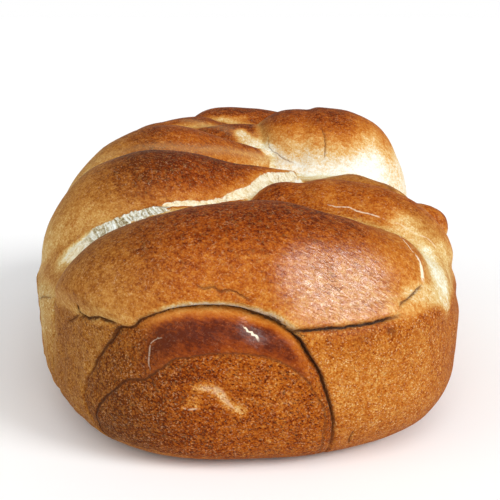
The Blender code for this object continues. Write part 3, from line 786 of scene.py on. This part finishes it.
# The crust's material: egg wash baked to a thin skin over soft dough. Its colour follows
# the painted values, broken up by noise in Object coordinates: mottling, the pebbles of
# the tin side, curls of wash, and light specks that are painted glints. Sizes are in mm.
RIDGE_AND_HIGHLIGHT, GLINT_AND_CURL_TINT = (0.86, 0.74, 0.55), (0.78, 0.52, 0.30)
DULL_TAN, EDGE_SHEEN_GREY, SCORCH_AND_SHADE = (0.38, 0.20, 0.055), (0.38, 0.32, 0.17), (0.14, 0.034, 0.007)
crust = bpy.data.materials.new("egg_washed_crust")
crust.use_nodes = True
nodes, links = crust.node_tree.nodes, crust.node_tree.links
shader = nodes["Principled BSDF"]


def node(kind, **settings):
    """A new node, with its inputs linked or set, and its own settings."""
    made = nodes.new(kind)
    for key, value in settings.items():
        if key in made.inputs:
            if isinstance(value, bpy.types.NodeSocket):
                links.new(value, made.inputs[key])
            else:
                made.inputs[key].default_value = value
        else:
            setattr(made, key, value)
    return made


def math_node(operation, a, b=0.0, clamp=False):
    """A math node that works on two numbers or sockets."""
    made = nodes.new("ShaderNodeMath")
    made.operation = operation
    made.use_clamp = clamp
    for socket, value in zip(made.inputs, (a, b)):
        if isinstance(value, bpy.types.NodeSocket):
            links.new(value, socket)
        else:
            socket.default_value = value
    return made.outputs[0]


def ramp(factor, stops):
    made = node("ShaderNodeValToRGB", Fac=factor)
    bar = made.color_ramp
    while len(bar.elements) < len(stops):
        bar.elements.new(0.5)
    for element, (place, colour) in zip(bar.elements, stops):
        element.position = place
        element.color = (*colour, 1.0)
    return made.outputs["Color"]


def blend_colour(factor, a, b):
    made = nodes.new("ShaderNodeMix")
    made.data_type = "RGBA"
    for socket, value in ((made.inputs[0], factor), (made.inputs[6], a), (made.inputs[7], b)):
        if isinstance(value, bpy.types.NodeSocket):
            links.new(value, socket)
        else:
            socket.default_value = (*value, 1.0) if isinstance(value, tuple) else value
    return made.outputs[2]


def painted_value(name):
    return node("ShaderNodeAttribute", attribute_name=name).outputs["Fac"]


place = node("ShaderNodeTexCoord").outputs["Object"]


def grain(size, detail=2.0, roughness=0.55, stretch=None):
    """Noise whose patches are about size mm across."""
    at = place
    if stretch:
        at = node("ShaderNodeMapping", Vector=place, Scale=stretch).outputs[0]
    return node("ShaderNodeTexNoise", Vector=at, Scale=1000.0 / size, Detail=detail,
                Roughness=roughness).outputs["Fac"]


bake_v = painted_value("bake")
pebbled_v = painted_value("pebbled")
tear_v = painted_value("tear")
fibrous_v = painted_value("fibrous")
dark_v = painted_value("dark")
gloss_v = painted_value("gloss")
wrinkle_v = painted_value("wrinkle")
speckle_v = painted_value("speckle")
pitting_v = painted_value("pitting")
calm_v = painted_value("calm")


def times(*values):
    product = values[0]
    for value in values[1:]:
        product = math_node("MULTIPLY", product, value)
    return product


def plus(*values):
    total = values[0]
    for value in values[1:]:
        total = math_node("ADD", total, value)
    return total


def threshold(value, low, high):
    """0 up to low, 1 from high on, and a smooth rise between them."""
    made = node("ShaderNodeMapRange", interpolation_type="SMOOTHSTEP")
    links.new(value, made.inputs["Value"])
    made.inputs["From Min"].default_value = low
    made.inputs["From Max"].default_value = high
    return made.outputs["Result"]


def centred(value):
    return math_node("SUBTRACT", value, 0.5)


# the wash was brushed on along a slant that falls to the right, seen from the front
BRUSH_SLANT = math.radians(-32)
slanted = node("ShaderNodeMapping", Vector=place, Rotation=(0.0, BRUSH_SLANT, 0.0)).outputs[0]


def slanted_grain(size, length, detail=2.0):
    """Noise whose patches are size mm wide and drawn out to about length mm."""
    at = node("ShaderNodeMapping", Vector=slanted, Scale=(size / length, 1.0, 1.0)).outputs[0]
    return node("ShaderNodeTexNoise", Vector=at, Scale=1000.0 / size, Detail=detail,
                Roughness=0.55).outputs["Fac"]


mottle = centred(grain(24, 3))
patch = centred(grain(5, 4, 0.6))
coarse = centred(grain(1.7, 3, 0.6, stretch=(0.7, 1.0, 1.0)))
fine = centred(grain(0.7, 3, 0.6))
grit = centred(grain(0.38, 2, 0.6))
# painted glints: small light specks that lighten the crust
glint_specks = threshold(grain(0.50, 1, 0.4, stretch=(0.75, 1.0, 1.0)), 0.60, 0.70)
glint_specks = times(glint_specks, threshold(grain(4, 2), 0.32, 0.56))
pits = threshold(slanted_grain(0.55, 1.1), 0.57, 0.66)
fleck = threshold(grain(2.2, 2, 0.5), 0.68, 0.72)
# tiny pale curls where the wash lifted
curl = math_node("ABSOLUTE", centred(slanted_grain(1.1, 2.0, 1.0)))
curl = math_node("SUBTRACT", 1.0, threshold(curl, 0.006, 0.030))
curl = times(curl, threshold(grain(1.9, 1, 0.4), 0.60, 0.66))
pebbles = slanted_grain(0.7, 1.1, 3.0)
streaks = centred(slanted_grain(0.9, 3.5, 3.0))
# fine wrinkles: thin dark lines where a slanted noise crosses its middle
crossing = math_node("ABSOLUTE", centred(slanted_grain(1.5, 6.0, 1.0)))
lines = math_node("SUBTRACT", 1.0, threshold(crossing, 0.004, 0.022))
lines = times(lines, threshold(grain(5, 2), 0.50, 0.58), wrinkle_v)

pale = math_node("SUBTRACT", 1.0, threshold(bake_v, 0.15, 0.50))
level = plus(bake_v, times(mottle, 0.24), times(patch, 0.30))
rough_share = math_node("SUBTRACT", 1.0, times(calm_v, 0.75))
level = plus(level, times(fine, plus(0.56, times(pebbled_v, 0.34)), rough_share))
level = plus(level, times(coarse, plus(0.44, times(pebbled_v, -0.08)), rough_share))
level = plus(level, times(grit, plus(0.26, times(pebbled_v, 0.14)), rough_share))
level = plus(level, times(streaks, math_node("SUBTRACT", 0.30, times(pebbled_v, 0.30))))
level = plus(level, times(glint_specks, speckle_v, -0.14), times(pits, pitting_v, 0.24))
level = plus(level, times(fleck, pebbled_v, -0.16), times(lines, 0.14))
crust_colour = ramp(level, (
    (0.00, (0.75, 0.75, 0.68)), (0.14, (0.70, 0.60, 0.42)), (0.30, (0.62, 0.39, 0.14)),
    (0.45, (0.53, 0.235, 0.050)), (0.60, (0.43, 0.135, 0.014)), (0.74, (0.32, 0.072, 0.004)),
    (0.88, (0.19, 0.030, 0.001)), (1.00, (0.08, 0.010, 0.0005))))
olive_colour = ramp(level, (
    (0.00, (0.74, 0.75, 0.64)), (0.14, (0.66, 0.59, 0.37)), (0.30, (0.56, 0.40, 0.16)),
    (0.45, (0.46, 0.26, 0.072)), (0.60, (0.36, 0.16, 0.032)), (0.74, (0.26, 0.094, 0.013)),
    (0.88, (0.17, 0.046, 0.005)), (1.00, (0.08, 0.018, 0.002))))
# the olive tone, with the painted shade in the valleys
crust_colour = blend_colour(painted_value("olive_and_valley_shade"), crust_colour, olive_colour)
# the brown is a duller tan in small patches, and a painted sheen of olive grey lies on a few
# strands' edges
tan = times(threshold(grain(1.1, 3, 0.6), 0.50, 0.68), 0.24)
tan = times(tan, math_node("SUBTRACT", 1.0, pale), math_node("SUBTRACT", 1.0, calm_v))
crust_colour = blend_colour(tan, crust_colour, DULL_TAN)
edge_sheen = times(painted_value("painted_edge_sheen"), plus(0.85, times(fine, 1.5), times(coarse, 0.8)))
crust_colour = blend_colour(edge_sheen, crust_colour, EDGE_SHEEN_GREY)
# light specks, which are painted glints, and curls of the wash are lighter than the crust
# that they lie on
lightened = blend_colour(0.42, crust_colour, GLINT_AND_CURL_TINT)
crust_colour = blend_colour(times(glint_specks, speckle_v, rough_share), crust_colour, lightened)
crust_colour = blend_colour(times(curl, rough_share, 0.55), crust_colour, lightened)
# torn dough: white and fibrous in the first tear, smooth and creamy in the others
along_across = node("ShaderNodeCombineXYZ", X=times(painted_value("fibre_along"), 1.1),
                    Y=times(painted_value("fibre_across"), 0.3)).outputs[0]
fibre = node("ShaderNodeTexNoise", Vector=along_across, Scale=0.8, Detail=3.0,
             Roughness=0.6).outputs["Fac"]
torn_colour = ramp(plus(fibre, times(fine, 0.25)), (
    (0.36, (0.20, 0.15, 0.06)), (0.45, (0.45, 0.40, 0.27)), (0.54, (0.66, 0.66, 0.56)),
    (0.66, (0.80, 0.84, 0.80))))
smooth_colour = ramp(plus(fine, coarse, 0.5), (
    (0.25, (0.58, 0.42, 0.20)), (0.50, (0.72, 0.63, 0.42)), (0.75, (0.80, 0.75, 0.60))))
torn_colour = blend_colour(fibrous_v, smooth_colour, torn_colour)
ragged_edge = times(plus(times(coarse, 1.6), times(fine, 0.6)), threshold(tear_v, 0.02, 0.25))
ragged_edge = times(ragged_edge, plus(0.40, times(fibrous_v, 0.60)))
torn = threshold(plus(tear_v, ragged_edge), 0.34, 0.60)
crust_colour = blend_colour(torn, crust_colour, torn_colour)


def painted_line(name, jitter):
    """How much of a line shows: its signed distance, jittered, set against its width."""
    away = math_node("ABSOLUTE", plus(painted_value(name + "_side"), jitter))
    width = painted_value(name + "_width")
    inside = math_node("DIVIDE", math_node("SUBTRACT", times(width, 1.5), away), width)
    return times(threshold(inside, 0.0, 1.0), painted_value(name))


jitter = times(centred(grain(1.5, 3, 0.6)), 1.3)
ridge_and_highlight_line = painted_line("ridge_and_highlight", times(jitter, 0.3))
unbroken = threshold(painted_value("ridge_and_highlight"), 0.80, 0.95)
broken_up = threshold(grain(1.6, 2), 0.36, 0.52)
ridge_and_highlight_line = times(ridge_and_highlight_line, math_node("MAXIMUM", unbroken, broken_up))
crack_shade_line = painted_line("crack_shade", plus(jitter, times(centred(grain(5, 2)), 1.2)))
# the colours of the painted shade in the cracks, darkest where it is strongest
crack_shade_colour = ramp(painted_value("crack_shade"), (
    (0.45, (0.17, 0.048, 0.012)), (0.80, (0.095, 0.027, 0.007)), (1.0, (0.034, 0.010, 0.003))))
# pale folds and stretch lines, and the painted highlights
crust_colour = blend_colour(math_node("MINIMUM", ridge_and_highlight_line, 0.92), crust_colour, RIDGE_AND_HIGHLIGHT)
# scorched spots and brown marks, and the painted shade beside the cracks
crust_colour = blend_colour(times(dark_v, 0.9), crust_colour, SCORCH_AND_SHADE)
crust_colour = blend_colour(times(crack_shade_line, 0.94), crust_colour, crack_shade_colour)
links.new(crust_colour, shader.inputs["Base Color"])
links.new(plus(0.70, times(pebbled_v, 0.12), times(fine, 0.20)), shader.inputs["Roughness"])
shader.inputs["Specular IOR Level"].default_value = 0.05
shader.inputs["Sheen Weight"].default_value = 0.05
shader.inputs["Sheen Roughness"].default_value = 0.35
shader.inputs["Sheen Tint"].default_value = (0.92, 1.0, 0.80, 1)
glint = plus(0.50, times(threshold(slanted_grain(0.8, 2.2, 2.0), 0.45, 0.60), 0.60))
links.new(math_node("MULTIPLY", gloss_v, glint, clamp=True), shader.inputs["Coat Weight"])
shader.inputs["Coat Roughness"].default_value = 0.27
shader.inputs["Coat IOR"].default_value = 2.6
# relief, in mm: the pebbles of the tin side, fine crazing of the wash, torn fibres
bumps = times(pebbles, plus(0.10, times(pebbled_v, 0.50)))
bumps = plus(bumps, times(glint_specks, speckle_v, 0.10), times(pits, pitting_v, -0.16))
bumps = plus(bumps, times(patch, 0.30), times(fine, plus(0.10, times(wrinkle_v, 0.30))))
bumps = plus(bumps, times(centred(slanted_grain(0.7, 2.0, 2.0)), wrinkle_v, 0.45))
bumps = plus(bumps, times(ridge_and_highlight_line, 0.15), times(crack_shade_line, -0.35))
bumps = plus(bumps, times(lines, -0.22), times(fibre, tear_v, plus(0.2, times(fibrous_v, 1.2))))
relief = node("ShaderNodeBump", Strength=1.0, Distance=MM, Height=bumps)
links.new(relief.outputs["Normal"], shader.inputs["Normal"])
links.new(relief.outputs["Normal"], shader.inputs["Coat Normal"])
loaf.data.materials.clear()
loaf.data.materials.append(crust)
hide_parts("brioche_loaf")
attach(loaf, "root")

# The floor: a plain pale sheet of matt card, far larger than the loaf, which lies under it
# and fills the view.
FLOOR_SIZE = 60.0
bpy.ops.object.select_all(action="DESELECT")
bpy.ops.mesh.primitive_plane_add(size=FLOOR_SIZE)
floor = bpy.context.object
floor.name = "floor"
floor_paint = bpy.data.materials.new("floor_paint")
floor_paint.use_nodes = True
floor_shader = floor_paint.node_tree.nodes["Principled BSDF"]
floor_shader.inputs["Base Color"].default_value = (0.97, 0.97, 0.97, 1)
floor_shader.inputs["Roughness"].default_value = 0.9
floor_shader.inputs["Specular IOR Level"].default_value = 0.0
floor.data.materials.append(floor_paint)

# The light: a soft studio sky, brightest near the horizon, and three soft lights. The key
# light comes from the front right, and broad ones fill from above the front and the left.
LIGHTS = [
    # name, direction that it comes from, strength, spread in degrees
    ("key_light", (0.66, -0.55, 0.50), 1.85, 24),
    ("front_light", (0.10, -0.70, 0.70), 1.6, 60),
    ("fill_light", (-0.75, -0.45, 0.50), 0.7, 60),
]
SKY = ((0.03, 1.0), (0.14, 0.40), (0.75, 0.28))
scene = bpy.context.scene
scene.view_settings.view_transform = "Standard"
sky = bpy.data.worlds.new("studio")
scene.world = sky
sky.use_nodes = True
sky_nodes, sky_links = sky.node_tree.nodes, sky.node_tree.links
sky_place = sky_nodes.new("ShaderNodeTexCoord")
sky_parts = sky_nodes.new("ShaderNodeSeparateXYZ")
brightness = sky_nodes.new("ShaderNodeValToRGB")
brightness.color_ramp.elements.new(0.5)
for element, (climb, grey) in zip(brightness.color_ramp.elements, SKY):
    element.position = climb
    element.color = (grey, grey, grey, 1.0)
sky_links.new(sky_place.outputs["Generated"], sky_parts.inputs[0])
sky_links.new(sky_parts.outputs["Z"], brightness.inputs[0])
sky_links.new(brightness.outputs[0], sky_nodes["Background"].inputs["Color"])
for name, direction, energy, spread in LIGHTS:
    bpy.ops.object.light_add(type="SUN")
    lamp = bpy.context.object
    lamp.name = name
    lamp.data.energy = energy
    lamp.data.angle = math.radians(spread)
    lamp.rotation_euler = Vector(direction).to_track_quat("Z", "Y").to_euler()

# The camera stands low and close to the loaf's near end, a little to its left, and looks
# down on it, with no depth of field.
CAMERA_TURN, CAMERA_TILT = math.radians(-5.5), math.radians(14.7)
CAMERA_DISTANCE, CAMERA_HEIGHT, CAMERA_SIDE = 359 * MM, 138 * MM, 4 * MM
LENS, SENSOR = 64.8, 36
bpy.ops.object.camera_add(location=(CAMERA_DISTANCE * math.sin(CAMERA_TURN) + CAMERA_SIDE,
                                    -CAMERA_DISTANCE * math.cos(CAMERA_TURN), CAMERA_HEIGHT),
                          rotation=(math.radians(90) - CAMERA_TILT, 0, CAMERA_TURN))
camera = bpy.context.object
camera.data.lens = LENS
camera.data.sensor_width = SENSOR
camera.data.clip_start = 0.01
scene.camera = camera
